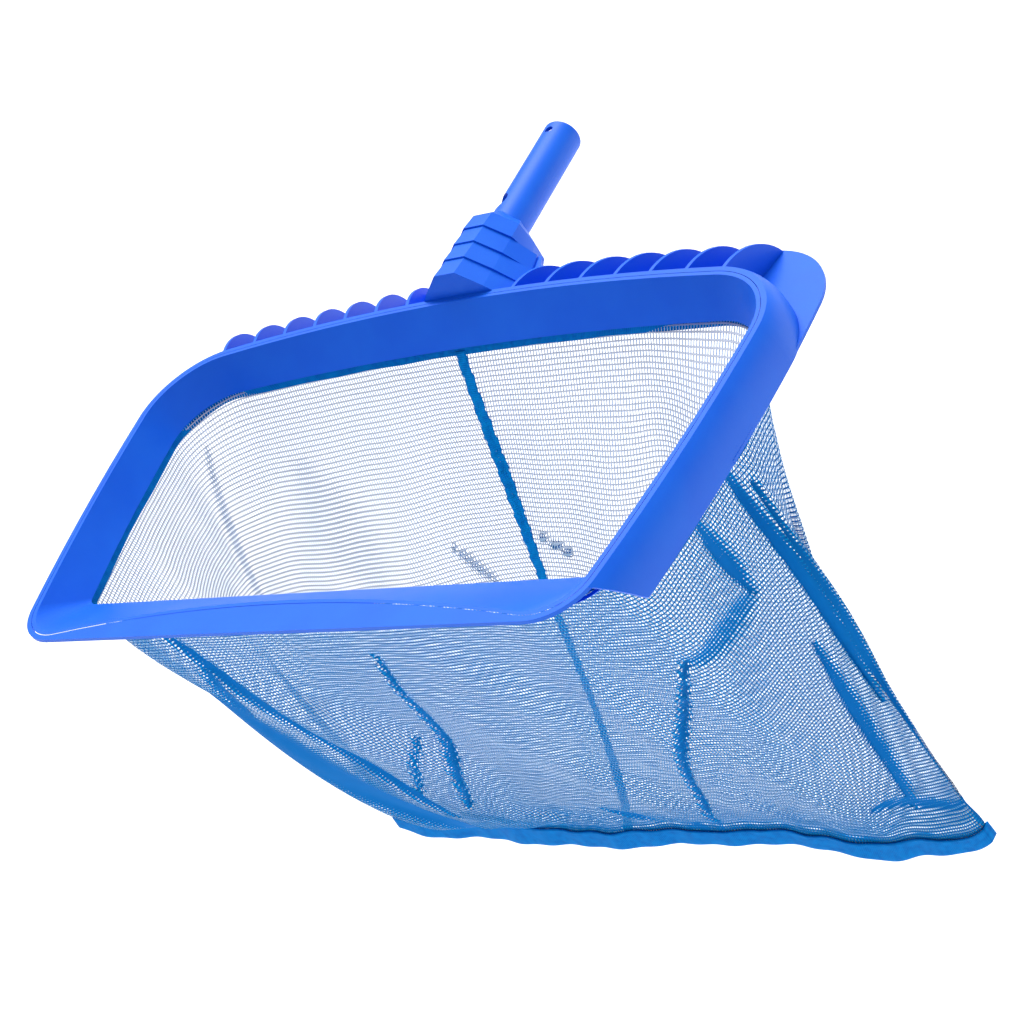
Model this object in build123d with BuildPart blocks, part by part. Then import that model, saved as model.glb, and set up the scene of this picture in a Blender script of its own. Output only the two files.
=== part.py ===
"""Deep-bag leaf skimmer net: a moulded scoop frame on a pole socket, with a hanging mesh bag.

Origin: on the socket tube's axis, at its open end, where the pole goes on.
+Y points out of the tube towards the pole, +X to the right of the scoop, +Z up.
The scoop's crest lies in a level plane, and the bag hangs straight down from it.
"""

import os
from math import cos, radians, sin, sqrt, tan

from build123d import *

os.makedirs("parts", exist_ok=True)

# ---------------------------------------------------------------- driving dimensions, mm
reach = 440.0  # from the scoop's base line to the tube's open end
crest_z = 7.0  # crest plane above the tube's axis
wall = 2.6  # moulded wall thickness

# scoop frame, sizes measured in the crest plane from the base line
lip_y = -36.0  # front edge of the scoop lip
lip_half = 217.5
lip_corner_r = 36.0
arm_mid_half = 245.3  # half width halfway up the arms
arm_mid_y = 99.0
top_half = 259.5  # half width where the arms would meet the top bar
top_corner_y = 231.0
top_mid_y = 258.0
top_corner_r = 58.0
outer_depth = 30.0
outer_flare = 8.4  # how far the outer wall spreads by its lower edge
outer_curve = [(0.0, 0.0), (7.0, 4.4), (17.0, 7.3), (30.0, outer_flare)]  # depth and spread
band = 3.4  # width of the frame's own rim outside the joint line

# joint line between the frame and the net ring, and the ring's lower edge
joint_gap = 0.4
arch_y = -15.0  # middle of the joint line's arch across the lip
arch_end_y = -37.0
arch_half = 213.5
arch_corner_r = 32.0
ring_depth = 26.0
ring_low_half = 213.0
ring_low_y = 15.0
ring_low_r = 9.0
ring_mid_half = 231.0
ring_top_half = 246.5
ring_top_corner_y = 219.5
ring_top_y = 237.0
ring_top_r = 45.0
clip_width = 9.0
clip_span = 30.0
clip_thick = 6.0
clip_depth = 7.0  # middle of the clips below the crest
clip_gap = 0.25
clip_top_xs = [40.0, 110.0, 180.0]
clip_arm_ys = [40.0, 100.0, 160.0]

# flange and fins behind the top bar
flange_thick = 2.4
flange_half = 267.0
flange_corner_y = 277.0
flange_top_y = 303.0
flange_corner_r = 55.0
flange_side_half = 261.5
flange_side_y = 165.0
flange_end_half = 254.0
flange_end_y = 100.0
fin_count = 7
fin_first = 45.0  # where the first fin leaves the crest
fin_pitch = 27.5
fin_lean = 16.0  # degrees that the fins fan out on their way back
fin_thick = 2.6

# handle socket
tube_r = 14.3
bore_r = 11.6
tube_root_y = -105.0
bore_end_y = -118.0
knuckle_front_y = -183.0
knuckle_top_half = 8.5
knuckle_top_z = 26.0
knuckle_half = 24.4
knuckle_edge_z = 12.0
knuckle_skirt_z = -6.0
knuckle_base_z = -20.6
knuckle_skirts = [(41.0, 40.0), (41.0, 39.0), (38.0, 35.0), (31.0, 26.0)]  # front and back of each band
shoulder_skirts = (25.0, 15.0)
knuckle_steps = [-166.0, -149.5, -133.0]  # where the stepped bands meet
knuckle_shoulder_y = -118.0
step_depth = 1.3
shoulder_inset = 10.0
stop_r = 15.4  # ring that stops the pole at the tube's root
web_top_z = -8.0
web_thick = 2.6
web_scallops = [(13.0, -106.0), (24.0, -120.0), (38.0, -133.0), (52.0, -152.0)]
scallop_sag = 1.8
mouth_round = 0.6
snap_hole_r = 3.2
snap_hole_y = -9.0
drain_hole_r = 8.5
drain_hole_y = -87.0
drain_hole_turn = 38.0  # degrees round the tube from its top
screw_xs = [-8.5, 8.5]
screw_ys = [-164.0, -147.0]
screw_r = 1.7
screw_length = 12.0
screw_head_r = 3.2
screw_head_height = 1.8
screw_hole_r = 1.8

# bag
hem_top_depth = 12.0
hem_low_depth = 30.0
hem_thick = 1.5
bead_size = 2.4
layer_gap = 0.5
net_top_depth = 30.5
net_low_depth = 411.0
net_thick = 2.0
net_mouth = [(214.0, 18.0), (240.0, 190.0), (203.0, 228.0), (0.0, 234.0)]
net_foot = [(263.0, 122.0), (264.0, 125.0), (262.0, 128.0), (0.0, 128.6)]
panel_gap = 0.5
seam_y = 125.0
seam_depth = 425.0
seam_half = 267.0
seam_thick = 4.5
tape_width = 8.0
tape_thick = 1.2
tape_top_x = -5.0
tape_foot_x = -30.0  # the tape drifts to the left on its way down
tape_proud = 0.3


def scoop_plane(depth):
    """Level plane at a depth below the crest, with its origin on the base line."""
    return Plane(origin=(0, -reach, crest_z - depth))


def to_row(x, y, depth):
    """A point given from the scoop's base line, in the part's own frame."""
    return Vector(x, y - reach, crest_z - depth)


def loop(base, mid, top, top_mid, base_mid, base_r, top_r):
    """Closed outline with bowed arms: half widths and heights of the base, arm and top corners."""
    with BuildSketch(mode=Mode.PRIVATE) as outline:
        with BuildLine():
            ThreePointArc((-base[0], base[1]), (0, base_mid - 0.01), (base[0], base[1]))
            ThreePointArc(base, mid, top)
            ThreePointArc(top, (0, top_mid), (-top[0], top[1]))
            ThreePointArc((-top[0], top[1]), (-mid[0], mid[1]), (-base[0], base[1]))
        make_face()
        corners = outline.vertices().sort_by(Axis.Y)
        fillet(corners[:2], base_r)
        corners = outline.vertices().filter_by(lambda v: abs(abs(v.X) - top[0]) < 0.01 and v.Y > mid[1])
        fillet(corners, top_r)
    return outline.sketch


def frame_loop(inset, spread=0.0):
    """The frame's outer outline, moved in by inset and out by spread."""
    grow = spread - inset
    return loop(
        (lip_half + grow, lip_y - grow),
        (arm_mid_half + grow, arm_mid_y),
        (top_half + grow, top_corner_y + grow),
        top_mid_y + grow,
        lip_y - grow,
        lip_corner_r + grow,
        top_corner_r + grow,
    )


def ring_loop(depth, inset):
    """The net ring's outer outline at a depth, moved in by inset."""
    t = depth / ring_depth
    edge = band + joint_gap

    def mix(a, b):
        return a + (b - a) * t

    return loop(
        (mix(arch_half, ring_low_half) - inset, mix(arch_end_y, ring_low_y) + inset),
        (mix(arm_mid_half - edge, ring_mid_half) - inset, arm_mid_y),
        (mix(top_half - edge, ring_top_half) - inset, mix(top_corner_y - edge, ring_top_corner_y) - inset),
        mix(top_mid_y - edge, ring_top_y) - inset,
        mix(arch_y, ring_low_y) + inset,
        mix(arch_corner_r, ring_low_r) - 0.5 * inset,
        mix(top_corner_r - edge, ring_top_r) - inset,
    )


def flange_loop():
    """Outline of the flange behind the top bar, down both sides to its ends."""
    end = (flange_end_half, flange_end_y)
    side = (flange_side_half, flange_side_y)
    corner = (flange_half, flange_corner_y)
    with BuildSketch(mode=Mode.PRIVATE) as outline:
        with BuildLine():
            Line((-end[0], end[1]), end)
            ThreePointArc(end, side, corner)
            ThreePointArc(corner, (0, flange_top_y), (-corner[0], corner[1]))
            ThreePointArc((-corner[0], corner[1]), (-side[0], side[1]), (-end[0], end[1]))
        make_face()
        fillet(outline.vertices().sort_by(Axis.Y)[-2:], flange_corner_r)
    return outline.sketch


def loft_between(high, high_depth, low, low_depth):
    """Solid between two outlines at two depths."""
    with BuildPart(mode=Mode.PRIVATE) as body:
        with BuildSketch(scoop_plane(high_depth)):
            add(high)
        with BuildSketch(scoop_plane(low_depth)):
            add(low)
        loft()
    return body.part


def outer_body(inset):
    """Solid inside the outer wall, which curves outwards as it goes down, moved in by inset."""
    with BuildPart(mode=Mode.PRIVATE) as body:
        for depth, spread in outer_curve:
            with BuildSketch(scoop_plane(depth)):
                add(frame_loop(inset, spread))
        loft()
    return body.part


def crest_edge(x):
    """Height of the frame's outer outline at x, round the top corners too."""
    straight = top_mid_y - (top_mid_y - top_corner_y) * (x / top_half) ** 2
    centre_x = top_half - top_corner_r - 1.0
    if abs(x) <= centre_x:
        return straight
    drop = top_corner_r - sqrt(top_corner_r**2 - (abs(x) - centre_x) ** 2)
    return straight - drop


def flange_edge(x):
    """Height of the flange's outer outline at x."""
    return flange_top_y - (flange_top_y - flange_corner_y) * (x / flange_half) ** 2


# ---------------------------------------------------------------- outer frame
outer_skin = outer_body(0)
outer_hollow = outer_body(wall)

with BuildPart(mode=Mode.PRIVATE) as fin_space:
    with BuildSketch(scoop_plane(outer_depth)):
        add(flange_loop())
    extrude(amount=outer_depth)

# the fins stand between the outer wall and the flange
with BuildPart(mode=Mode.PRIVATE) as fins:
    for side in (-1, 1):
        for k in range(fin_count):
            root_x = fin_first + fin_pitch * k
            run = (flange_edge(root_x + 13.0) - crest_edge(root_x)) / cos(radians(fin_lean))
            along = (side * sin(radians(fin_lean)), cos(radians(fin_lean)), 0)
            across = (along[1], -along[0], 0)
            root = to_row(side * root_x, crest_edge(root_x), crest_z)
            front = crest_z - 0.6
            back = crest_z - outer_depth
            tip = (run - 0.8, back + flange_thick)
            with BuildSketch(Plane(origin=root, x_dir=along, z_dir=across)):
                with BuildLine():
                    ThreePointArc((-1.5, front), (0.62 * run, crest_z - 7.5), tip)
                    Polyline(tip, (tip[0], back + 0.5), (-8.0, back + 0.5), (-8.0, front), (-1.5, front))
                make_face()
            extrude(amount=fin_thick / 2, both=True)
    add(fin_space.part, mode=Mode.INTERSECT)
    add(outer_hollow, mode=Mode.SUBTRACT)

with BuildPart() as outer_frame:
    add(outer_skin)
    add(outer_hollow, mode=Mode.SUBTRACT)
    # the outer wall stops short of the lip, cut off at a slant
    with BuildSketch(Plane.YZ):
        with BuildLine():
            Polyline(
                (-reach - 80, crest_z + 5),
                (-reach - 14.5, crest_z + 5),
                (-reach - 14.5, crest_z),
                (-reach + 4.0, crest_z - outer_depth),
                (-reach + 4.0, crest_z - outer_depth - 5),
                (-reach - 80, crest_z - outer_depth - 5),
                close=True,
            )
        make_face()
    extrude(amount=300, both=True, mode=Mode.SUBTRACT)
    # rim band and scoop lip, one blade outside the joint line
    with BuildSketch(scoop_plane(wall)):
        add(frame_loop(0))
        add(ring_loop(0, -joint_gap), mode=Mode.SUBTRACT)
    extrude(amount=wall)
    # flange behind the top bar
    with BuildSketch(scoop_plane(outer_depth)):
        add(flange_loop())
        add(frame_loop(wall, outer_flare), mode=Mode.SUBTRACT)
    extrude(amount=flange_thick)
    add(fins.part)
    # screw holes behind the socket
    for screw_x in screw_xs:
        for screw_y in screw_ys:
            with Locations((screw_x, screw_y, crest_z - outer_depth)):
                Cylinder(screw_hole_r, 4 * flange_thick, mode=Mode.SUBTRACT)
outer_frame.part.label = "outer_frame"
export_step(outer_frame.part, "parts/outer_frame.step")


# ---------------------------------------------------------------- inner ring
ring_skin = loft_between(ring_loop(0, 0), 0, ring_loop(ring_depth, 0), ring_depth)
ring_hollow = loft_between(ring_loop(0, wall), 0, ring_loop(ring_depth, wall), ring_depth)
clip_room = outer_body(wall + clip_gap)

# snap tabs bridge the channel and bear on the inside of the outer wall
with BuildPart(mode=Mode.PRIVATE) as clips:
    for side in (-1, 1):
        for clip_x in clip_top_xs:
            with Locations(to_row(side * clip_x, crest_edge(clip_x) - clip_span / 2, clip_depth)):
                Box(clip_width, clip_span, clip_thick)
        for clip_y in clip_arm_ys:
            with Locations(to_row(side * (arm_mid_half - clip_span / 2), clip_y, clip_depth)):
                Box(clip_span, clip_width, clip_thick)
    add(clip_room, mode=Mode.INTERSECT)
    add(ring_hollow, mode=Mode.SUBTRACT)

with BuildPart() as inner_ring:
    add(ring_skin)
    add(ring_hollow, mode=Mode.SUBTRACT)
    add(clips.part)
inner_ring.part.label = "inner_ring"
export_step(inner_ring.part, "parts/inner_ring.step")


# ---------------------------------------------------------------- handle socket
def knuckle_loft(front_y, front_skirt, front_inset, back_y, back_skirt, back_inset):
    """Solid between the knuckle's section at two stations, with its skirt's half width there."""
    stations = ((front_y, front_skirt, front_inset), (back_y, back_skirt, back_inset))
    with BuildPart(mode=Mode.PRIVATE) as band_part:
        for y, skirt, inset in stations:
            rights = [
                (knuckle_top_half - 0.4 * inset, knuckle_top_z - inset),
                (knuckle_half - inset, knuckle_edge_z - 0.7 * inset),
                (skirt, knuckle_skirt_z),
                (skirt, knuckle_base_z),
            ]
            lefts = [(-x, z) for x, z in reversed(rights)]
            with BuildSketch(Plane.XZ.offset(-y)):
                with BuildLine():
                    Polyline(*(rights + lefts), close=True)
                make_face()
        loft()
    return band_part.part


with BuildPart() as handle_socket:
    # stepped bands, each one tapering towards the tube
    fronts = [knuckle_front_y] + knuckle_steps
    backs = knuckle_steps + [knuckle_shoulder_y]
    for front, back, skirts in zip(fronts, backs, knuckle_skirts):
        add(knuckle_loft(front, skirts[0], 0, back, skirts[1], step_depth))
    shoulder = (knuckle_shoulder_y, shoulder_skirts[0], step_depth)
    add(knuckle_loft(*shoulder, tube_root_y, shoulder_skirts[1], shoulder_inset))
    with BuildSketch(Plane.XZ):
        Circle(tube_r)
    extrude(amount=-bore_end_y)
    with BuildSketch(Plane.XZ.offset(-tube_root_y)):
        Circle(stop_r)
    extrude(amount=tube_root_y - knuckle_shoulder_y)
    # webs spread from the tube's root to the first fins
    web_front = web_scallops[-1][0] - (web_scallops[-1][1] - knuckle_front_y) * tan(radians(fin_lean))
    for side in (-1, 1):
        with BuildSketch(Plane.XY.offset(web_top_z - web_thick)):
            with BuildLine():
                for (x0, y0), (x1, y1) in zip(web_scallops, web_scallops[1:]):
                    middle = (side * ((x0 + x1) / 2 - scallop_sag), (y0 + y1) / 2 - scallop_sag)
                    ThreePointArc((side * x0, y0), middle, (side * x1, y1))
                Polyline(
                    (side * web_scallops[-1][0], web_scallops[-1][1]),
                    (side * web_front, knuckle_front_y),
                    (0, knuckle_front_y),
                    (0, web_scallops[0][1]),
                    (side * web_scallops[0][0], web_scallops[0][1]),
                )
            make_face()
        extrude(amount=web_thick)
    # bore, the snap holes near its mouth and the round hole by the root
    with BuildSketch(Plane.XZ):
        Circle(bore_r)
    extrude(amount=-bore_end_y, mode=Mode.SUBTRACT)
    with Locations((0, snap_hole_y, 0)):
        Cylinder(snap_hole_r, 4 * tube_r, mode=Mode.SUBTRACT)
    with Locations(Location((0, drain_hole_y, 0), (0, -drain_hole_turn, 0))):
        Cylinder(
            drain_hole_r,
            2 * tube_r,
            align=(Align.CENTER, Align.CENTER, Align.MIN),
            mode=Mode.SUBTRACT,
        )
    # pilot holes for the screws
    for screw_x in screw_xs:
        for screw_y in screw_ys:
            with Locations((screw_x, screw_y, knuckle_base_z)):
                Cylinder(screw_hole_r, 2 * screw_length, mode=Mode.SUBTRACT)
    add(outer_skin, mode=Mode.SUBTRACT)
    mouth = handle_socket.edges().filter_by(GeomType.CIRCLE).group_by(Axis.Y)[-1]
    fillet(mouth.sort_by(SortBy.RADIUS)[0], mouth_round)
handle_socket.part.label = "handle_socket"
export_step(handle_socket.part, "parts/handle_socket.step")

# four self-tapping screws from behind the flange
with BuildPart() as socket_screws:
    for screw_x in screw_xs:
        for screw_y in screw_ys:
            with Locations((screw_x, screw_y, crest_z - outer_depth)):
                Cylinder(screw_r, screw_length, align=(Align.CENTER, Align.CENTER, Align.MIN))
                Cylinder(
                    screw_head_r,
                    screw_head_height,
                    align=(Align.CENTER, Align.CENTER, Align.MAX),
                )
socket_screws.part.label = "socket_screws"
export_step(socket_screws.part, "parts/socket_screws.step")


# ---------------------------------------------------------------- hem
def hem_layer(high_depth, low_depth, near, far):
    """A band round the ring between two depths, from near to far outside its skin."""
    outside = loft_between(ring_loop(high_depth, -far), high_depth, ring_loop(low_depth, -far), low_depth)
    inside = loft_between(ring_loop(high_depth, -near), high_depth, ring_loop(low_depth, -near), low_depth)
    with BuildPart(mode=Mode.PRIVATE) as layer:
        add(outside)
        add(inside, mode=Mode.SUBTRACT)
    return layer.part


with BuildPart() as hem_band:
    add(hem_layer(hem_top_depth, hem_low_depth, layer_gap, layer_gap + hem_thick))
hem_band.part.label = "hem_band"
export_step(hem_band.part, "parts/hem_band.step")

bead_near = 2 * layer_gap + hem_thick
with BuildPart() as hem_bead:
    add(hem_layer(hem_top_depth, hem_top_depth + bead_size, bead_near, bead_near + bead_size))
hem_bead.part.label = "hem_bead"
export_step(hem_bead.part, "parts/hem_bead.step")


# ---------------------------------------------------------------- net bag
def bag_loop(rights, inset):
    """Closed outline through four points given for the right half, each moved in by inset."""
    inward = [(-1, 1), (-1, 0), (-1, -1), (0, -1)]
    rights = [(x + inset * dx, y + inset * dy) for (x, y), (dx, dy) in zip(rights, inward)]
    lefts = [(-x, y) for x, y in reversed(rights[:-1])]
    with BuildSketch(mode=Mode.PRIVATE) as outline:
        with BuildLine():
            Polyline(*(rights + lefts), close=True)
        make_face()
    return outline.sketch


with BuildPart(mode=Mode.PRIVATE) as bag:
    add(loft_between(bag_loop(net_mouth, 0), net_top_depth, bag_loop(net_foot, 0), net_low_depth))
    inside = loft_between(
        bag_loop(net_mouth, net_thick), net_top_depth, bag_loop(net_foot, net_thick), net_low_depth
    )
    add(inside, mode=Mode.SUBTRACT)


def cut_plane(mouth_y, foot_y):
    """Plane along X through two heights at the bag's mouth and foot, facing away from the lip."""
    high = to_row(0, mouth_y, net_top_depth)
    low = to_row(0, foot_y, net_low_depth)
    return Plane(origin=high, x_dir=(1, 0, 0), z_dir=Vector(1, 0, 0).cross(low - high))


front_cut = cut_plane(net_mouth[0][1], net_foot[0][1]).offset(net_thick)
back_cut = cut_plane(net_mouth[2][1], net_foot[2][1]).offset(-net_thick)

with BuildPart() as net_front_panel:
    add(bag.part)
    split(bisect_by=front_cut, keep=Keep.BOTTOM)
net_front_panel.part.label = "net_front_panel"
export_step(net_front_panel.part, "parts/net_front_panel.step")

with BuildPart() as net_back_panel:
    add(bag.part)
    split(bisect_by=back_cut, keep=Keep.TOP)
net_back_panel.part.label = "net_back_panel"
export_step(net_back_panel.part, "parts/net_back_panel.step")

for name, kept_half in (("net_left_gusset", Keep.BOTTOM), ("net_right_gusset", Keep.TOP)):
    with BuildPart() as gusset:
        add(bag.part)
        split(bisect_by=front_cut.offset(panel_gap), keep=Keep.TOP)
        split(bisect_by=back_cut.offset(-panel_gap), keep=Keep.BOTTOM)
        split(bisect_by=Plane.YZ, keep=kept_half)
    gusset.part.label = name
    export_step(gusset.part, f"parts/{name}.step")

with BuildPart() as centre_seam_tape:
    with BuildSketch(scoop_plane(net_top_depth)):
        with Locations((tape_top_x, net_mouth[-1][1] + tape_proud)):
            Rectangle(tape_width, tape_thick, align=(Align.CENTER, Align.MIN))
    with BuildSketch(scoop_plane(net_low_depth)):
        with Locations((tape_foot_x, net_foot[-1][1] + tape_proud)):
            Rectangle(tape_width, tape_thick, align=(Align.CENTER, Align.MIN))
    loft()
centre_seam_tape.part.label = "centre_seam_tape"
export_step(centre_seam_tape.part, "parts/centre_seam_tape.step")

with BuildPart() as bottom_seam_binding:
    with BuildSketch(scoop_plane(seam_depth)):
        with Locations((0, seam_y)):
            Rectangle(2 * seam_half, seam_thick)
    extrude(amount=seam_depth - net_low_depth - layer_gap)
bottom_seam_binding.part.label = "bottom_seam_binding"
export_step(bottom_seam_binding.part, "parts/bottom_seam_binding.step")
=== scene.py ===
import bisect
import itertools
import math
import random

import bpy
from mathutils import Matrix, Vector


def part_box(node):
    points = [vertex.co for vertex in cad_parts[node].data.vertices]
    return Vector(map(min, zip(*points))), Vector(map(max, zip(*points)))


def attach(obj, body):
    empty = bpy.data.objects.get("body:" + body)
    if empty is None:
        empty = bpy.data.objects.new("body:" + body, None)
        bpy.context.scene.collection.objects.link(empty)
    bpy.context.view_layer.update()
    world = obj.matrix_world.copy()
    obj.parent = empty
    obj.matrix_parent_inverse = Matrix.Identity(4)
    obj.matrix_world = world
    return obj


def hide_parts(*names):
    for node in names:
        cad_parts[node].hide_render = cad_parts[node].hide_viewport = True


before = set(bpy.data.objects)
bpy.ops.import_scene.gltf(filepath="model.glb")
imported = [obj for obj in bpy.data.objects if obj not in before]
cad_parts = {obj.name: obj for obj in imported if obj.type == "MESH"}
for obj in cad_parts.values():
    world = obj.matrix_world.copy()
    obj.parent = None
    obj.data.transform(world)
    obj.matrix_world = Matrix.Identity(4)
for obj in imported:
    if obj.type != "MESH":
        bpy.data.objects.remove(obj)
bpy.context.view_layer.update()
print("frame loaded")


# camera, light and floor
shot = {
    "place": (0.765, -0.989, 0.573),
    "right": (0.795, 0.377, -0.474),
    "up": (0.067, 0.724, 0.687),
    "lens": 65.5,
    "sensor": 36,
    "farthest": 60,          # nothing beyond this is drawn
    "floorZ": -1.6,
    "floorSize": 60.0,
    "floor": "fdfdfd",
    "floorRoughness": 0.95,
    "skyStrength": 0.50,
    "keyFrom": (-0.18, 0.48, 0.86),   # high, from the pole's side: the lip is lit and the bar's face is not
    "keyStrength": 3.8,
    "keyAngle": 45,
}


def srgb(code):
    # a hex colour as seen, turned to linear light
    values = [int(code[i:i + 2], 16) / 255 for i in (0, 2, 4)]
    linear = [v / 12.92 if v <= 0.04045 else ((v + 0.055) / 1.055) ** 2.4 for v in values]
    return (linear[0], linear[1], linear[2], 1.0)


def addNode(tree, kind, settings=None, inputs=None):
    # one node, with its settings, and inputs that are values or other nodes' outputs
    node = tree.nodes.new(kind)
    for key, value in (settings or {}).items():
        setattr(node, key, value)
    for key, value in (inputs or {}).items():
        if isinstance(value, bpy.types.NodeSocket):
            tree.links.new(value, node.inputs[key])
        else:
            node.inputs[key].default_value = value
    return node


def freshMaterial(name):
    material = bpy.data.materials.new(name)
    material.use_nodes = True
    material.node_tree.nodes.clear()
    return material, material.node_tree


def deselectAll():
    if bpy.context.object and bpy.context.object.mode != "OBJECT":
        bpy.ops.object.mode_set(mode="OBJECT")
    bpy.ops.object.select_all(action="DESELECT")


def makeCurrent(piece):
    deselectAll()
    piece.select_set(True)
    bpy.context.view_layer.objects.active = piece


def setStage():
    right = Vector(shot["right"]).normalized()
    up = Vector(shot["up"])
    up = (up - up.dot(right) * right).normalized()
    back = right.cross(up)
    turn = Matrix((right, up, back)).transposed().to_4x4()
    deselectAll()
    bpy.ops.object.camera_add(location=shot["place"])
    camera = bpy.context.object
    camera.name = "viewCamera"
    camera.matrix_world = Matrix.Translation(shot["place"]) @ turn
    camera.data.lens = shot["lens"]
    camera.data.sensor_width = shot["sensor"]
    camera.data.clip_end = shot["farthest"]
    bpy.context.scene.camera = camera
    bpy.context.scene.view_settings.view_transform = "Standard"

    # one broad soft key light
    deselectAll()
    bpy.ops.object.light_add(type="SUN", location=(0, 0, 2))
    key = bpy.context.object
    key.name = "keyLight"
    key.data.energy = shot["keyStrength"]
    key.data.angle = math.radians(shot["keyAngle"])
    key.rotation_euler = Vector(shot["keyFrom"]).to_track_quat("Z", "Y").to_euler()

    deselectAll()
    bpy.ops.mesh.primitive_plane_add(size=shot["floorSize"], location=(0, 0, shot["floorZ"]))
    floor = bpy.context.object
    floor.name = "floor"
    material, tree = freshMaterial("whiteBackgroundPaper")  # matt paper, no gloss at all
    shader = addNode(tree, "ShaderNodeBsdfPrincipled", inputs={
        "Base Color": srgb(shot["floor"]), "Roughness": shot["floorRoughness"]})
    addNode(tree, "ShaderNodeOutputMaterial", inputs={"Surface": shader.outputs["BSDF"]})
    floor.data.materials.append(material)

    world = bpy.data.worlds.new("softSky")
    bpy.context.scene.world = world
    world.use_nodes = True
    sky = world.node_tree.nodes["Background"]
    sky.inputs["Color"].default_value = (1, 1, 1, 1)
    sky.inputs["Strength"].default_value = shot["skyStrength"]
    print("camera, light and floor set")


setStage()


# moulded plastic and steel
plastic = {
    "base": "005fe2",
    "cloudy": "0766e6",
    "cloudEdges": (0.35, 0.7),
    "cloudSize": 0.045,
    "cloudDetail": 3.0,
    "cloudSoftness": 0.55,
    "roughness": 0.44,
    "smoother": 0.05,        # how much the roughness falls and rises with the clouding
    "rougher": 0.09,
    "grainSize": 0.0011,
    "grainDetail": 2.0,
    "grainStrength": 0.12,
    "grainDepth": 0.0002,
    "ior": 1.49,             # polypropylene
    "specular": 0.32,
    "glow": 0.06,            # light that enters the skin and comes out again
    "glowReach": (0.001, 0.002, 0.006),
}
steel = {
    "colour": "c4c6c9",
    "spotScale": 900.0,
    "roughness": (0.25, 0.42),
}


def mouldedPlastic():
    # polypropylene, injection moulded: satin skin, faint flow clouding, fine orange-peel grain
    material, tree = freshMaterial("mouldedPolypropylene")
    place = addNode(tree, "ShaderNodeTexCoord").outputs["Object"]
    clouds = addNode(tree, "ShaderNodeTexNoise", inputs={
        "Vector": place, "Scale": 1 / plastic["cloudSize"],
        "Detail": plastic["cloudDetail"], "Roughness": plastic["cloudSoftness"]})
    colour = addNode(tree, "ShaderNodeValToRGB", inputs={"Fac": clouds.outputs["Fac"]})
    colour.color_ramp.elements[0].position = plastic["cloudEdges"][0]
    colour.color_ramp.elements[1].position = plastic["cloudEdges"][1]
    colour.color_ramp.elements[0].color = srgb(plastic["base"])
    colour.color_ramp.elements[1].color = srgb(plastic["cloudy"])
    grain = addNode(tree, "ShaderNodeTexNoise", inputs={
        "Vector": place, "Scale": 1 / plastic["grainSize"], "Detail": plastic["grainDetail"]})
    sheen = addNode(tree, "ShaderNodeMapRange", inputs={
        "Value": clouds.outputs["Fac"], "To Min": plastic["roughness"] - plastic["smoother"],
        "To Max": plastic["roughness"] + plastic["rougher"]})
    bump = addNode(tree, "ShaderNodeBump", inputs={
        "Height": grain.outputs["Fac"], "Strength": plastic["grainStrength"],
        "Distance": plastic["grainDepth"]})
    shader = addNode(tree, "ShaderNodeBsdfPrincipled", inputs={
        "Base Color": colour.outputs["Color"], "Roughness": sheen.outputs["Result"],
        "Normal": bump.outputs["Normal"], "IOR": plastic["ior"], "Subsurface Weight": plastic["glow"],
        "Subsurface Radius": plastic["glowReach"], "Specular IOR Level": plastic["specular"]})
    addNode(tree, "ShaderNodeOutputMaterial", inputs={"Surface": shader.outputs["BSDF"]})
    return material


def platedSteel():
    # zinc-plated screw steel: bright, slightly rough from the plating
    material, tree = freshMaterial("zincPlatedSteel")
    place = addNode(tree, "ShaderNodeTexCoord").outputs["Object"]
    spots = addNode(tree, "ShaderNodeTexNoise", inputs={
        "Vector": place, "Scale": steel["spotScale"]})
    rough = addNode(tree, "ShaderNodeMapRange", inputs={
        "Value": spots.outputs["Fac"], "To Min": steel["roughness"][0],
        "To Max": steel["roughness"][1]})
    shader = addNode(tree, "ShaderNodeBsdfPrincipled", inputs={
        "Base Color": srgb(steel["colour"]), "Metallic": 1.0, "Roughness": rough.outputs["Result"]})
    addNode(tree, "ShaderNodeOutputMaterial", inputs={"Surface": shader.outputs["BSDF"]})
    return material


def clothe(node, material):
    piece = bpy.data.objects[node]
    piece.data.materials.clear()
    piece.data.materials.append(material)


bluePlastic = mouldedPlastic()
for node in ("outer_frame", "inner_ring", "handle_socket", "hem_bead"):
    clothe(node, bluePlastic)
clothe("socket_screws", platedSteel())
print("plastic and steel done")


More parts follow.
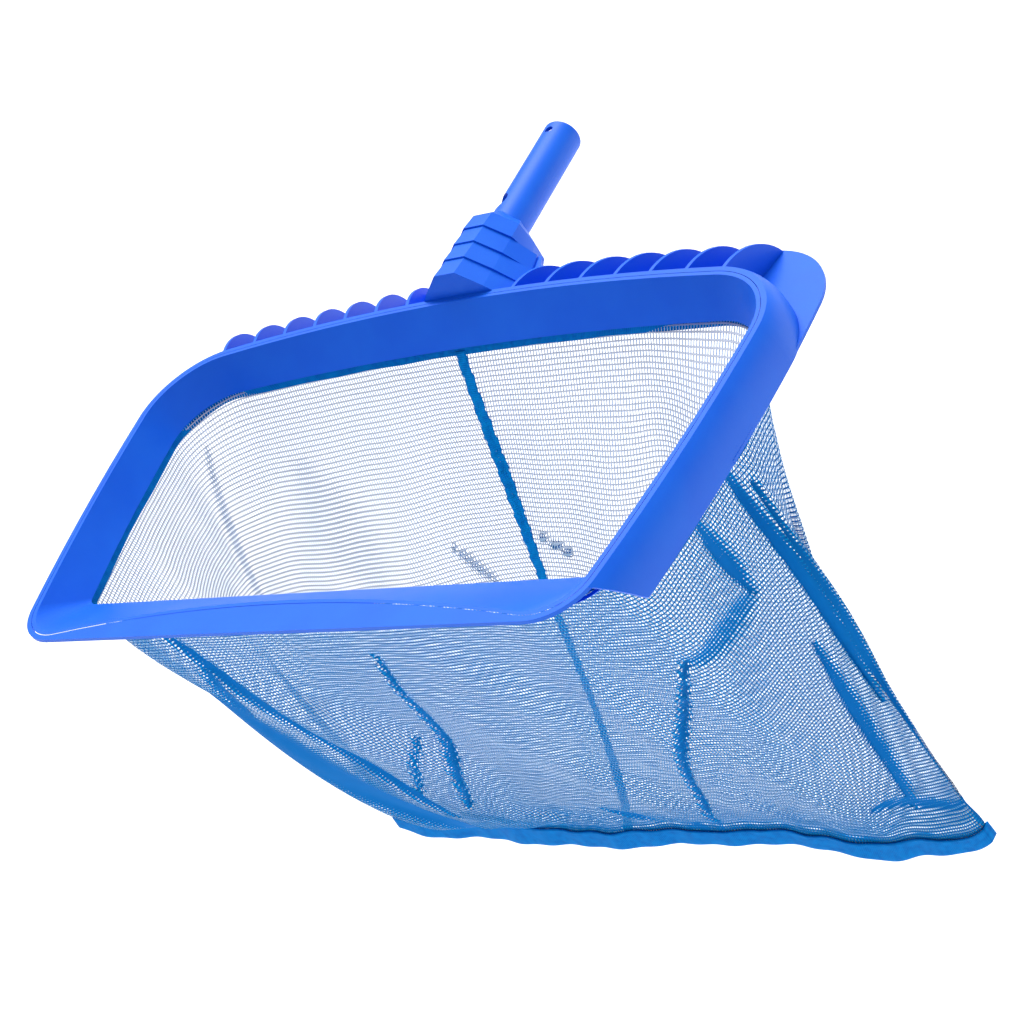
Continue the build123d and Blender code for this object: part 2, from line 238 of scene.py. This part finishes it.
# shape of the bag, shared by the net, its tape and its binding
bag = {
    "reach": 0.440,          # scoop's base line behind the tube's open end
    "crestZ": 0.007,
    "topDepth": 0.0275,
    "mouthBase": (0.2162, 0.0125),   # outside of the hem, at the lip end
    "mouthSide": (0.2335, 0.099),
    "mouthTop": (0.2480, 0.2205),
    "mouthMiddle": 0.2385,
    "baseRadius": 0.012,
    "topRadius": 0.047,
    "cornerLean": 0.55,      # how far a corner's curve leans into the corner
    "cornerSteps": 10,
    "outlineSteps": 60,      # points on each stretch of the mouth's outline
    "armSearch": (60, 200, 400),     # first, last and all steps round, to find where an arm's middle is
    "facingStep": 0.002,     # share to each side, to tell which way the outline faces
    "footHalf": 0.2650,
    "footY": 0.125,
    "footGap": 0.0010,       # half the room between the two sides at the foot
    "flatFoot": 0.06,        # share of the drop where both sides hang flat together
    "footRipples": [(0.0030, 23, 0), (0.0014, 67, 1), (0.0006, 190, 0)],   # size, rate and phase
    "sideDraw": 1.5,         # power that leaves most of the sideways spread to the lower half
    "hemHold": 9,            # dents reach their full depth one ninth of the way down
    # how fast the cloth draws in towards the foot, by share of the way round from the centre seam
    "pull": [(0.00, 1.5), (0.10, 1.8), (0.18, 6.0), (0.25, 1.9), (0.33, 0.80), (0.42, 0.80), (0.56, 0.75),
             (0.61, 0.58), (0.67, 0.50), (0.75, 1.2), (0.83, 2.2), (0.92, 1.7), (1.00, 1.5)],
    # the centre seam starts left of the middle, bellies to the right, and swings left at the foot
    "seamTop": -0.007,
    "seamBelly": 0.009,
    "seamFoot": -0.037,
    "seamSwing": 7,          # power: a high one leaves the swing to the last of the drop
    "seamReach": 0.2,        # how far to each side the cloth follows the seam
    "seamFade": 1.3,
    # the foot hangs lowest at the left, with one dip to the right and its ends drawn up
    "footDepth": 0.429,
    "footTilt": 0.010,
    "dipPlace": 0.68,        # as a share of the half width
    "dipHalf": 0.09,
    "dipDepth": 0.010,
    "endLift": 0.016,
    "endSharpness": 14,
    "footSlack": 1.07,       # cloth to foot width: a little is gathered into the binding
    "foldSway": 0.25,        # dents wander sideways by this share of their width
    "foldSwayRate": 7,
    "waveEnd": 0.98,         # drop where the broad waves stop
    "waveStretch": 1.02,
    "waveSwell": 0.8,
    "creaseFrom": 0.72,      # drop where the fine creases start
    "creaseGrowth": 1.5,
    "creaseEnd": 0.985,      # drop past which the binding holds them down to a share
    "creaseHeld": 0.4,
    "creaseDepth": 0.0050,   # how far a fully bunched pleat sinks in
    "footBunch": 0.22,       # how far the cloth is bunched at the foot, and the drop where that starts
    "footBunchFrom": 0.78,
    "pleatPeak": 1.6,        # over 1, so that a pleat's core is evenly full
    "pleatTip": 0.35,        # a pleat's width at its two ends, as a share of its middle's
}


def arcThrough(a, b, c, count):
    # points along the circle through three points, both ends included
    ax, ay, bx, by, cx, cy = a[0], a[1], b[0], b[1], c[0], c[1]
    d = 2 * (ax * (by - cy) + bx * (cy - ay) + cx * (ay - by))
    ux = ((ax**2 + ay**2) * (by - cy) + (bx**2 + by**2) * (cy - ay) + (cx**2 + cy**2) * (ay - by)) / d
    uy = ((ax**2 + ay**2) * (cx - bx) + (bx**2 + by**2) * (ax - cx) + (cx**2 + cy**2) * (bx - ax)) / d
    start = math.atan2(ay - uy, ax - ux)
    end = math.atan2(cy - uy, cx - ux)
    sweep = (end - start + math.pi) % (2 * math.pi) - math.pi
    radius = math.hypot(ax - ux, ay - uy)
    return [(ux + radius * math.cos(start + sweep * i / count),
             uy + radius * math.sin(start + sweep * i / count)) for i in range(count + 1)]


def trimPath(path, startCut, endCut):
    # drops a length from each end of a run of points
    total = sum(math.dist(p, q) for p, q in zip(path, path[1:]))
    kept, run = [], 0.0
    for p, q in zip(path, path[1:] + [path[-1]]):
        if startCut <= run <= total - endCut:
            kept.append(p)
        run += math.dist(p, q)
    return kept


def cornerBetween(a, b, corner):
    # a smooth corner from a to b that leans into the corner point
    lean, steps = bag["cornerLean"], bag["cornerSteps"]
    p1 = (a[0] + (corner[0] - a[0]) * lean, a[1] + (corner[1] - a[1]) * lean)
    p2 = (b[0] + (corner[0] - b[0]) * lean, b[1] + (corner[1] - b[1]) * lean)
    points = []
    for i in range(1, steps):
        t = i / steps
        w = ((1 - t) ** 3, 3 * (1 - t) ** 2 * t, 3 * (1 - t) * t**2, t**3)
        points.append(tuple(w[0] * a[j] + w[1] * p1[j] + w[2] * p2[j] + w[3] * b[j] for j in (0, 1)))
    return points


def mouthOutline():
    # half the outline, from the middle of the top bar round to the middle of the lip
    top, side, base, steps = bag["mouthTop"], bag["mouthSide"], bag["mouthBase"], bag["outlineSteps"]
    middle = bag["mouthMiddle"]
    bar = arcThrough((0, middle), (top[0] / 2, middle - (middle - top[1]) / 4), top, steps)
    arm = arcThrough(top, side, base, steps)
    lip = [(base[0] * (1 - i / steps), base[1]) for i in range(steps + 1)]
    bar = trimPath(bar, 0, bag["topRadius"])
    arm = trimPath(arm, bag["topRadius"], bag["baseRadius"])
    lip = trimPath(lip, bag["baseRadius"], 0)
    half = bar + cornerBetween(bar[-1], arm[0], top) + arm + cornerBetween(arm[-1], lip[0], base) + lip
    left = [(-x, y) for x, y in reversed(half[:-1])]
    return half + left


def alongOutline(share):
    # the point at a share of the outline's length
    wanted = share * outlineRun[-1]
    i = min(max(bisect.bisect_left(outlineRun, wanted), 1), len(outline) - 1)
    k = (wanted - outlineRun[i - 1]) / (outlineRun[i] - outlineRun[i - 1])
    p, q = outline[i - 1], outline[i]
    return (p[0] + (q[0] - p[0]) * k, p[1] + (q[1] - p[1]) * k)


def blendList(pairs, x):
    # smooth reading between listed pairs
    if x <= pairs[0][0]:
        return pairs[0][1]
    for (x0, y0), (x1, y1) in zip(pairs, pairs[1:]):
        if x <= x1:
            k = (x - x0) / (x1 - x0)
            k = k * k * (3 - 2 * k)
            return y0 + (y1 - y0) * k
    return pairs[-1][1]


outline = mouthOutline()
stepLengths = [math.dist(p, q) for p, q in zip(outline, outline[1:])]
outlineRun = list(itertools.accumulate(stepLengths, initial=0.0))
# share of the way round at which the right arm is level with the foot
firstStep, lastStep, allSteps = bag["armSearch"]
armShares = [i / allSteps for i in range(firstStep, lastStep)]
armShare = min(armShares, key=lambda share: abs(alongOutline(share)[1] - bag["footY"]))

# broad dents and ridges: share round, depth share, half width round, half height down, push in metres
folds = [
    (0.06, 0.34, 0.045, 0.22, -0.010),
    (0.90, 0.42, 0.050, 0.26, -0.011),
    (0.97, 0.62, 0.022, 0.20, 0.007),
    (0.47, 0.55, 0.030, 0.30, 0.008),
    (0.56, 0.62, 0.026, 0.26, -0.008),
    (0.40, 0.50, 0.016, 0.34, 0.007),
    (0.245, 0.30, 0.010, 0.30, 0.007),
    (0.215, 0.42, 0.009, 0.34, -0.006),
    (0.190, 0.36, 0.008, 0.34, 0.006),
    (0.68, 0.60, 0.016, 0.30, 0.008),
    (0.72, 0.50, 0.013, 0.36, -0.007),
    (0.76, 0.55, 0.012, 0.34, 0.007),
]

# broad waves over the whole bag and fine creases near its foot: ranges that each one is drawn from
ripples = {
    "seed": 11,
    "turn": 6.283,           # radians in a full turn
    "phase": (0, 6.28),
    "waves": {"count": 16, "around": (5, 19), "down": (0.4, 2.6), "size": (0.0002, 0.0008)},
    "creases": {"count": 14, "around": (14, 42), "down": (2, 7), "size": (0.0004, 0.0011)},
}


def drawRipples(source, kind):
    # rate round, rate down, phase and size in metres
    return [(source.uniform(*kind["around"]), source.uniform(*kind["down"]),
             source.uniform(*ripples["phase"]), source.uniform(*kind["size"])) for _ in range(kind["count"])]


rippleSource = random.Random(ripples["seed"])
waves = drawRipples(rippleSource, ripples["waves"])
creases = drawRipples(rippleSource, ripples["creases"])

# pleats and creases where the cloth bunches: strength, half width and sideways bow in metres,
# then share and drop at each end
# a share of 0.25 is the middle of the right end, 0.5 of the lip's side, and 0.75 of the left end
# along the pleats the thread colour is also tinted: painted crease shade beside the real denser cloth
pleats = {
    "rightPleat": (1.0, 0.0050, 0.004, (0.26, 0.05), (0.26, 0.60)),
    "rightTail": (0.7, 0.0060, 0.000, (0.28, 0.42), (0.29, 0.88)),
    "rightEdge": (0.95, 0.0032, 0.000, (0.25, 0.10), (0.25, 0.95)),
    "frontTop": (0.8, 0.0045, 0.000, (0.29, 0.06), (0.29, 0.24)),
    "frontTurn": (0.4, 0.0090, 0.000, (0.29, 0.24), (0.34, 0.24)),
    "frontPleat": (0.9, 0.0022, -0.010, (0.34, 0.22), (0.45, 0.97)),
    "leftPleat": (0.9, 0.0050, 0.004, (0.63, 0.04), (0.62, 0.80)),
    "leftBranch": (0.7, 0.0050, 0.000, (0.63, 0.18), (0.66, 0.42)),
    "leftEdge": (0.85, 0.0150, 0.000, (0.67, 0.10), (0.64, 0.95)),
    "lipCrease": (0.9, 0.0026, 0.006, (0.51, 0.18), (0.60, 0.76)),
    "lipBranch": (0.6, 0.0020, 0.000, (0.57, 0.50), (0.62, 0.70)),
    "footTail": (0.65, 0.0050, 0.000, (0.32, 0.84), (0.25, 0.90)),
    "footFold": (0.7, 0.0060, 0.000, (0.46, 0.97), (0.51, 0.82)),
    "backDimple": (0.9, 0.0020, 0.000, (0.01, 0.32), (0.03, 0.35)),
    "backDent": (0.5, 0.0030, 0.000, (0.95, 0.32), (0.97, 0.40)),
    # a broad faint patch on the back: painted shade, with only a slight dent
    "backShadePatch": (0.1, 0.0260, 0.000, (0.87, 0.15), (0.89, 0.35)),
    "cornerLine": (0.22, 0.0050, 0.000, (0.81, 0.06), (0.78, 0.45)),
}


def seamDepth(x):
    # how deep the foot hangs at a distance right of the middle
    place = x / bag["footHalf"]
    dip = bag["dipDepth"] * math.exp(-((place - bag["dipPlace"]) / bag["dipHalf"]) ** 2)
    lift = bag["endLift"] * min(1.0, abs(place)) ** bag["endSharpness"]
    return bag["footDepth"] - bag["footTilt"] * place + dip - lift


def clothAround(drop):
    # the flat cloth's length all the way round, at a drop
    foot = 4 * bag["footHalf"] * bag["footSlack"]
    return net["blank"][0] + (foot - net["blank"][0]) * drop


def clothUv(share, drop):
    # the same place on the flat cloth, in metres
    return ((share - 0.5) * clothAround(drop), (1 - drop) * net["blank"][1])


def gatherAt(share, drop):
    # how closely the cloth is bunched at a place, 0 to 1: along its pleats, and a little at the foot; the
    # same value also sets the painted crease shade
    total = bag["footBunch"] * max(0.0, (drop - bag["footBunchFrom"]) / (1 - bag["footBunchFrom"]))
    for strength, width, bow, start, end in pleats.values():
        wrap = 1.0 if share - start[0] > 0.5 else 0.0
        here, p, q = clothUv(share - wrap, drop), clothUv(*start), clothUv(*end)
        dx, dy = q[0] - p[0], q[1] - p[1]
        length = math.hypot(dx, dy)
        k = ((here[0] - p[0]) * dx + (here[1] - p[1]) * dy) / length**2
        aside = ((here[0] - p[0]) * dy - (here[1] - p[1]) * dx) / length
        arch = math.sin(math.pi * min(1.0, max(0.0, k)))
        beyond = length * max(0.0, -k, k - 1)
        far = math.hypot(aside - bow * arch, beyond)
        half = width * (bag["pleatTip"] + (1 - bag["pleatTip"]) * arch)
        total = max(total, strength * min(1.0, bag["pleatPeak"] * math.exp(-(far / half) ** 2)))
    return total


def footPlace(share):
    # distance right of the middle where a share ends at the foot, and 1 on the bar's side or -1 on the lip's
    if share <= armShare:
        return bag["footHalf"] * share / armShare, 1
    if share >= 1 - armShare:
        return bag["footHalf"] * (share - 1) / armShare, 1
    return bag["footHalf"] * (1 - 2 * (share - armShare) / (1 - 2 * armShare)), -1


def seamStray(mouthX, drop):
    # how far the centre seam strays from the middle, taking the cloth near it along
    seamX = bag["seamTop"] + bag["seamBelly"] * math.sin(math.pi * drop)
    seamX += (bag["seamFoot"] - bag["seamTop"]) * drop ** bag["seamSwing"]
    return seamX * max(0.0, 1 - abs(mouthX) / bag["seamReach"]) ** bag["seamFade"]


def waver(terms, x):
    # a sum of sines, each with its size, rate and phase
    return sum(size * math.sin(rate * x + phase) for size, rate, phase in terms)


def rippleAt(drawn, share, drop):
    # what a set of drawn ripples comes to at a place
    turn = ripples["turn"]
    return sum(size * math.sin(turn * around * share + turn * down * drop + phase)
               for around, down, phase, size in drawn)


def pushAt(share, drop):
    # how far dents, waves and creases push the cloth outwards
    push = 0.0
    for s0, d0, sHalf, dHalf, amount in folds:
        sway = bag["foldSway"] * sHalf * math.sin(bag["foldSwayRate"] * drop)
        ds = (share - s0 + 0.5) % 1 - 0.5 - sway
        push += amount * math.exp(-(ds / sHalf) ** 2 - ((drop - d0) / dHalf) ** 2)
    if drop < bag["waveEnd"]:
        free = math.sin(math.pi * drop * bag["waveStretch"]) ** bag["waveSwell"]
        push += rippleAt(waves, share, drop) * free
    # small creases crowd towards the foot
    crowd = max(0.0, (drop - bag["creaseFrom"]) / (1 - bag["creaseFrom"])) ** bag["creaseGrowth"]
    held = 1.0 if drop < bag["creaseEnd"] else bag["creaseHeld"]
    push += rippleAt(creases, share, drop) * crowd * held
    return push - bag["creaseDepth"] * gatherAt(share, drop)


def bagPoint(share, drop, lift=0.0):
    # a point on the cloth: share of the way round from the centre seam, drop from hem to foot
    mouth = alongOutline(share)
    ahead = alongOutline(min(share + bag["facingStep"], 1.0))
    behind = alongOutline(max(share - bag["facingStep"], 0.0))
    along = Vector((ahead[0] - behind[0], ahead[1] - behind[1]))
    along.normalize()
    outward = Vector((-along.y, along.x))
    footX, side = footPlace(share)
    footY = bag["footY"] + side * bag["footGap"]
    x = mouth[0] + (footX - mouth[0]) * drop ** bag["sideDraw"]
    if side > 0:
        x += seamStray(mouth[0], drop)
    # the bar's side and the ends draw in quickly below the ring, the lip's side hangs full
    reached = min(1.0, drop / (1 - bag["flatFoot"]))
    y = mouth[1] + (footY - mouth[1]) * (1 - (1 - reached) ** blendList(bag["pull"], share))
    z = bag["crestZ"] - bag["topDepth"] - (seamDepth(x) - bag["topDepth"]) * drop
    # in the sewn foot both sides lie flat together and ripple as one
    flat = min(1.0, max(0.0, (drop - 1 + 2 * bag["flatFoot"]) / bag["flatFoot"]))
    push = pushAt(share, drop) * min(1.0, drop * bag["hemHold"]) * (1 - flat) + lift
    y += flat * waver(bag["footRipples"], x)
    x += outward.x * push * (1 - flat)
    y += (outward.y * (1 - flat) + side * flat) * push
    return Vector((x, y - bag["reach"], z))


# knitted mesh
net = {
    "columns": 400,
    "rows": 84,
    "rowPitch": 0.0034,      # real mesh is about 1 mm; drawn coarser so that the threads show
    "columnPitch": 0.0022,
    # bunched: thread colour along pleats and at the foot, painted crease shade over the denser cloth
    "outside": {"row": "0064b2", "column": "009ce4", "rowHalf": 0.00048, "columnHalf": 0.00032,
                "bunchedAndShaded": "0072c4", "bunching": 1.0},
    # inside: the same blue nylon, its threads painted near white as painted light for how the lit inner face
    # looks
    "inside": {"row": "dbe2ee", "column": "fafcff", "rowHalf": 0.00040, "columnHalf": 0.00017,
               "bunchedAndShaded": "a9cdec", "bunching": 0.35},
    "blank": (1.30, 0.42),   # the cloth's flat size
    "thick": 0.0004,
    "insideZ": -0.15,        # height of a place inside the bag
    "wanderScale": 40.0,
    "wander": 0.0009,        # how far threads stray, from one side to the other
    "patchScale": 90.0,      # bunching is uneven along a pleat
    "patchLeast": 0.55,
    "patchGain": 0.9,        # what a patch adds to the least
    "edge": (1.25, 0.75),    # a thread's soft edge, from none to full, in half widths
    "bumpStrength": 0.4,
    "bumpDepth": 0.0003,
    "roughness": 0.7,
    "specular": 0.05,
}


def knittedMesh(name, look):
    # knitted nylon mesh: fine threads with open holes, rows that read stronger than columns
    material, tree = freshMaterial(name)
    place = addNode(tree, "ShaderNodeUVMap", {"uv_map": "cloth"}).outputs["UV"]
    gatheredAndShaded = addNode(tree, "ShaderNodeAttribute", {"attribute_name": "gatherAndCreaseShade"}).outputs["Fac"]
    wander = addNode(tree, "ShaderNodeTexNoise", inputs={
        "Vector": place, "Scale": net["wanderScale"], "Detail": 1.0})
    shift = addNode(tree, "ShaderNodeMath", {"operation": "MULTIPLY_ADD"}, {
        0: wander.outputs["Fac"], 1: net["wander"], 2: -net["wander"] / 2})
    patch = addNode(tree, "ShaderNodeTexNoise", inputs={
        "Vector": place, "Scale": net["patchScale"], "Detail": 2.0})
    uneven = addNode(tree, "ShaderNodeMath", {"operation": "MULTIPLY_ADD"}, {
        0: patch.outputs["Fac"], 1: net["patchGain"], 2: net["patchLeast"]})
    bunchedAndShaded = addNode(tree, "ShaderNodeMath", {"operation": "MULTIPLY", "use_clamp": True}, {
        0: gatheredAndShaded, 1: uneven.outputs[0]}).outputs[0]
    parts = addNode(tree, "ShaderNodeSeparateXYZ", inputs={"Vector": place})
    lines = []
    for axis, pitch, half in (("Y", net["rowPitch"], look["rowHalf"]),
                              ("X", net["columnPitch"], look["columnHalf"])):
        moved = addNode(tree, "ShaderNodeMath", {"operation": "ADD"}, {
            0: parts.outputs[axis], 1: shift.outputs[0]})
        fold = addNode(tree, "ShaderNodeMath", {"operation": "PINGPONG"}, {
            0: moved.outputs[0], 1: pitch / 2})
        # where the cloth is bunched the threads lie closer, and at last shut the holes
        closer = addNode(tree, "ShaderNodeMath", {"operation": "MULTIPLY_ADD"}, {
            0: bunchedAndShaded, 1: -pitch / 2 * look["bunching"], 2: fold.outputs[0]})
        line = addNode(tree, "ShaderNodeMapRange", {"interpolation_type": "SMOOTHSTEP"}, {
            "Value": closer.outputs[0], "From Min": half * net["edge"][0], "From Max": half * net["edge"][1],
            "To Min": 0.0, "To Max": 1.0})
        lines.append(line.outputs["Result"])
    cover = addNode(tree, "ShaderNodeMath", {"operation": "MAXIMUM"}, {0: lines[0], 1: lines[1]})
    thread = addNode(tree, "ShaderNodeMix", {"data_type": "RGBA"}, {
        "Factor": lines[0], 6: srgb(look["column"]), 7: srgb(look["row"])})
    # painted crease shade: along pleats and towards the foot the threads take the bunched colour
    tint = addNode(tree, "ShaderNodeMix", {"data_type": "RGBA"}, {
        "Factor": bunchedAndShaded, 6: thread.outputs[2], 7: srgb(look["bunchedAndShaded"])})
    bump = addNode(tree, "ShaderNodeBump", inputs={
        "Height": cover.outputs[0], "Strength": net["bumpStrength"], "Distance": net["bumpDepth"]})
    shader = addNode(tree, "ShaderNodeBsdfPrincipled", inputs={
        "Base Color": tint.outputs[2], "Roughness": net["roughness"], "Normal": bump.outputs["Normal"],
        "Specular IOR Level": net["specular"], "Alpha": cover.outputs[0]})
    addNode(tree, "ShaderNodeOutputMaterial", inputs={"Surface": shader.outputs["BSDF"]})
    return material


def addUv(piece, name, place):
    # writes a UV map in metres from a point index
    layer = piece.data.uv_layers.new(name=name)
    for loop in piece.data.loops:
        layer.data[loop.index].uv = place(loop.vertex_index)


def gridPiece(name, columns, rows, pointAt, uvAt):
    # a grid laid over a shape given by its two shares, with UVs in metres
    deselectAll()
    bpy.ops.mesh.primitive_grid_add(x_subdivisions=columns, y_subdivisions=rows, size=1.0, calc_uvs=False)
    piece = bpy.context.object
    piece.name = name
    shares = [(v.co.x + 0.5, 0.5 - v.co.y) for v in piece.data.vertices]
    for vertex, (a, b) in zip(piece.data.vertices, shares):
        vertex.co = pointAt(a, b)
    addUv(piece, "cloth", lambda index: uvAt(*shares[index]))
    bpy.ops.object.shade_smooth()
    return piece


def thicken(piece, thick, materialOffset=0):
    makeCurrent(piece)
    skin = piece.modifiers.new("thickness", "SOLIDIFY")
    skin.thickness = thick
    skin.offset = 0
    skin.material_offset = materialOffset
    bpy.ops.object.modifier_apply(modifier=skin.name)


netBag = gridPiece("netBag", net["columns"], net["rows"], bagPoint, clothUv)
# how bunched each point is: the mesh uses it for denser threads and for painted crease shade
gatherAndCreaseShade = netBag.data.attributes.new("gatherAndCreaseShade", "FLOAT", "POINT")
for loop in netBag.data.loops:
    u, v = netBag.data.uv_layers["cloth"].data[loop.index].uv
    drop = 1 - v / net["blank"][1]
    gatherAndCreaseShade.data[loop.vertex_index].value = gatherAt(u / clothAround(drop) + 0.5, drop)
netBag.data.materials.append(knittedMesh("nylonMeshOutside", net["outside"]))
# the inner face's material is painted light: blue threads drawn near white
netBag.data.materials.append(knittedMesh("nylonMeshInsidePaintedLight", net["inside"]))
makeCurrent(netBag)
bpy.ops.object.mode_set(mode="EDIT")
bpy.ops.mesh.select_all(action="SELECT")
bpy.ops.mesh.normals_make_consistent(inside=False)
bpy.ops.object.mode_set(mode="OBJECT")
middle = netBag.data.polygons[len(netBag.data.polygons) // 2]
inside = Vector((0, bag["footY"] - bag["reach"], net["insideZ"]))
if middle.normal.dot(middle.center - inside) < 0:
    netBag.data.flip_normals()
thicken(netBag, net["thick"], 1)
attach(netBag, "root")
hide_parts("net_front_panel", "net_back_panel", "net_left_gusset", "net_right_gusset")
print("net done")


# hem, centre tape and bottom binding
tapes = {
    "hem": ("0084d0", "0066b8"),        # light and shade of each tape
    "centre": ("0090dc", "0068be"),
    "binding": ("0084da", "0066be"),
    "thick": 0.0008,
    "ribPitch": 0.0014,
    "ribShare": 0.35,        # how much the ribs count beside the weave's own unevenness
    "patchScale": 160.0,
    "shadeEdges": (0.35, 0.85),
    "bumpStrength": 0.6,
    "bumpDepth": 0.0004,
    "roughness": 0.7,
    "specular": 0.06,
    "hemShow": 0.0020,       # how far it hangs lower than its CAD solid
    "hemEdge": 0.002,        # how high its lower edge reaches
    "hemRipple": (0.0005, 90),
    "hemTurnRadius": 0.21,   # turns an angle round the ring into a length of tape
    "mergeWithin": 0.00001,
    "centreGrid": (6, 160),
    "centreHalf": 0.0040,
    "centreRagged": [(0.0005, 170, 0), (0.0004, 411, 2)],    # size, rate and phase
    "centreRun": (0.005, 0.985),     # where it starts down the cloth, and how far it goes
    "centreLift": -0.0014,   # inside the cloth
    "bindingGrid": (260, 17),
    "bindingSize": (0.534, 0.04),
    # how far the binding reaches up the cloth, from its left end to its right end
    "bindingRise": [(-0.265, 0.012), (-0.20, 0.026), (-0.08, 0.018), (0.10, 0.014),
                    (0.18, 0.017), (0.265, 0.014)],
    "bindingWaver": [(0.0011, 31, 0), (0.0007, 83, 1)],
    "bindingUnder": 0.12,    # share of its half width that lies under the foot
    "bindingLift": 0.0016,
    "bindingLonger": 1.004,
    "bindingSag": 0.0026,
    "bindingSagHalf": 0.3,
}


def wovenTape(name, colours):
    # woven polyester tape: close ribs across, a soft dull sheen
    material, tree = freshMaterial(name)
    place = addNode(tree, "ShaderNodeUVMap", {"uv_map": "cloth"}).outputs["UV"]
    parts = addNode(tree, "ShaderNodeSeparateXYZ", inputs={"Vector": place})
    rib = addNode(tree, "ShaderNodeMath", {"operation": "PINGPONG"}, {
        0: parts.outputs["X"], 1: tapes["ribPitch"] / 2})
    height = addNode(tree, "ShaderNodeMapRange", inputs={
        "Value": rib.outputs[0], "From Max": tapes["ribPitch"] / 2})
    patch = addNode(tree, "ShaderNodeTexNoise", inputs={
        "Vector": place, "Scale": tapes["patchScale"], "Detail": 3.0})
    mixed = addNode(tree, "ShaderNodeMath", {"operation": "MULTIPLY_ADD"}, {
        0: height.outputs["Result"], 1: tapes["ribShare"], 2: patch.outputs["Fac"]})
    colour = addNode(tree, "ShaderNodeValToRGB", inputs={"Fac": mixed.outputs[0]})
    colour.color_ramp.elements[0].position = tapes["shadeEdges"][0]
    colour.color_ramp.elements[1].position = tapes["shadeEdges"][1]
    colour.color_ramp.elements[0].color = srgb(colours[1])
    colour.color_ramp.elements[1].color = srgb(colours[0])
    bump = addNode(tree, "ShaderNodeBump", inputs={
        "Height": mixed.outputs[0], "Strength": tapes["bumpStrength"], "Distance": tapes["bumpDepth"]})
    shader = addNode(tree, "ShaderNodeBsdfPrincipled", inputs={
        "Base Color": colour.outputs["Color"], "Roughness": tapes["roughness"],
        "Normal": bump.outputs["Normal"], "Specular IOR Level": tapes["specular"]})
    addNode(tree, "ShaderNodeOutputMaterial", inputs={"Surface": shader.outputs["BSDF"]})
    return material


# the hem keeps its CAD run between ring and frame, and hangs a little lower with a soft edge
hemBand = bpy.data.objects.new("hemBand", bpy.data.objects["hem_band"].data.copy())
bpy.context.collection.objects.link(hemBand)
makeCurrent(hemBand)
bpy.ops.object.mode_set(mode="EDIT")
bpy.ops.mesh.select_all(action="SELECT")
bpy.ops.mesh.remove_doubles(threshold=tapes["mergeWithin"])
bpy.ops.object.mode_set(mode="OBJECT")
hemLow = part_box("hem_band")[0][2]
hemMiddle = bag["mouthMiddle"] / 2 - bag["reach"]
rippleSize, rippleRate = tapes["hemRipple"]
for vertex in hemBand.data.vertices:
    if vertex.co.z < hemLow + tapes["hemEdge"]:
        vertex.co.z -= tapes["hemShow"] + rippleSize * math.sin(rippleRate * (vertex.co.x + vertex.co.y))
hemTurns = [math.atan2(v.co.x, v.co.y - hemMiddle) for v in hemBand.data.vertices]
addUv(hemBand, "cloth", lambda index: (
    hemTurns[index] * tapes["hemTurnRadius"], hemBand.data.vertices[index].co.z))
hemBand.data.materials.clear()
hemBand.data.materials.append(wovenTape("wovenHemTape", tapes["hem"]))
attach(hemBand, "root")
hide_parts("hem_band")


def tapePoint(across, drop):
    # sewn down the inside of the centre seam, its edges slightly ragged
    ragged = waver(tapes["centreRagged"], drop)
    offset = (across - 0.5) * 2 * tapes["centreHalf"] + ragged
    start, run = tapes["centreRun"]
    return bagPoint(offset / clothAround(drop) % 1, start + run * drop, tapes["centreLift"])


centreTape = gridPiece("centreTape", *tapes["centreGrid"], tapePoint,
                       lambda a, b: (b * net["blank"][1], a * 2 * tapes["centreHalf"]))
centreTape.data.materials.append(wovenTape("centreSeamTape", tapes["centre"]))
thicken(centreTape, tapes["thick"])
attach(centreTape, "root")
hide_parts("centre_seam_tape")


def bindingPoint(along, wrap):
    # folded over the foot of the bag, up the cloth in front and up the cloth behind
    x = 2 * along - 1
    around = 2 * wrap - 1
    rise = blendList(tapes["bindingRise"], x * bag["footHalf"]) + waver(tapes["bindingWaver"], along)
    climbed = max(0.0, abs(around) - tapes["bindingUnder"]) / (1 - tapes["bindingUnder"])
    if around < 0:
        share = 0.5 - x * (0.5 - armShare)
    else:
        share = x * armShare % 1
    point = bagPoint(share, 1 - rise / net["blank"][1] * climbed, tapes["bindingLift"])
    point.x *= tapes["bindingLonger"]
    point.z -= tapes["bindingSag"] * max(0.0, 1 - abs(around) / tapes["bindingSagHalf"])
    return point


bottomBinding = gridPiece("bottomBinding", *tapes["bindingGrid"], bindingPoint,
                          lambda a, b: (a * tapes["bindingSize"][0], b * tapes["bindingSize"][1]))
bottomBinding.data.materials.append(wovenTape("bottomBindingTape", tapes["binding"]))
thicken(bottomBinding, tapes["thick"])
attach(bottomBinding, "root")
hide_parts("bottom_seam_binding")

print("hem, tape and binding done")
